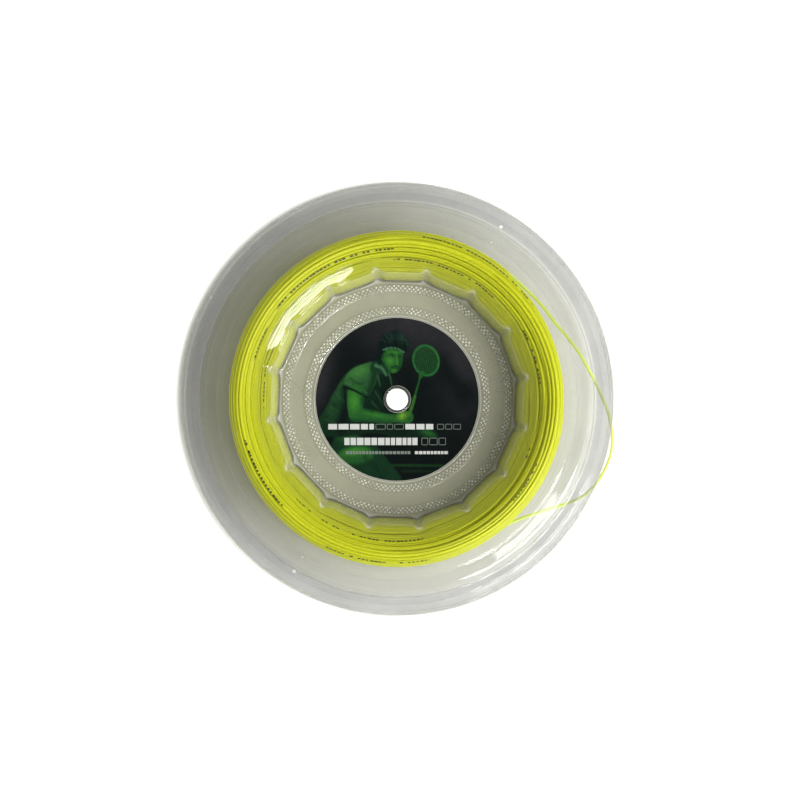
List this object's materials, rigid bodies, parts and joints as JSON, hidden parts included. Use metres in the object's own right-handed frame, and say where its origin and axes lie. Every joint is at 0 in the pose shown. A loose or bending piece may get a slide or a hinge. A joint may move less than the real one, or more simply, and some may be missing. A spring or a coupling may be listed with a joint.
{
  "type": "string reel",
  "caption": "Clear moulded reel with stepped flanges, a sixteen-sided hub and round labels, wound with tennis string that has one loose loop.",
  "frame": {"origin": "on the spindle axis, at the flat crest ring of the rear flange that the reel lies on", "axes": "+Z along the spindle axis from the rear flange to the front flange, +X towards the loose loop's side, +Y to the front label's top"},
  "size_m": [0.1691, 0.165, 0.058],
  "materials": {
    "clear_plastic": "clear moulded polystyrene, slightly milky",
    "label_print": "printed coated paper, satin",
    "string": "extruded polyester monofilament, satin gloss",
    "tape": "adhesive tape"
  },
  "bodies": {
    "root": {"front_half": "clear_plastic", "rear_half": "clear_plastic", "front_label": "label_print", "rear_label": "label_print", "string_winding": "string", "start_tape": "tape", "loose_string": "string"}
  },
  "joints": []
}
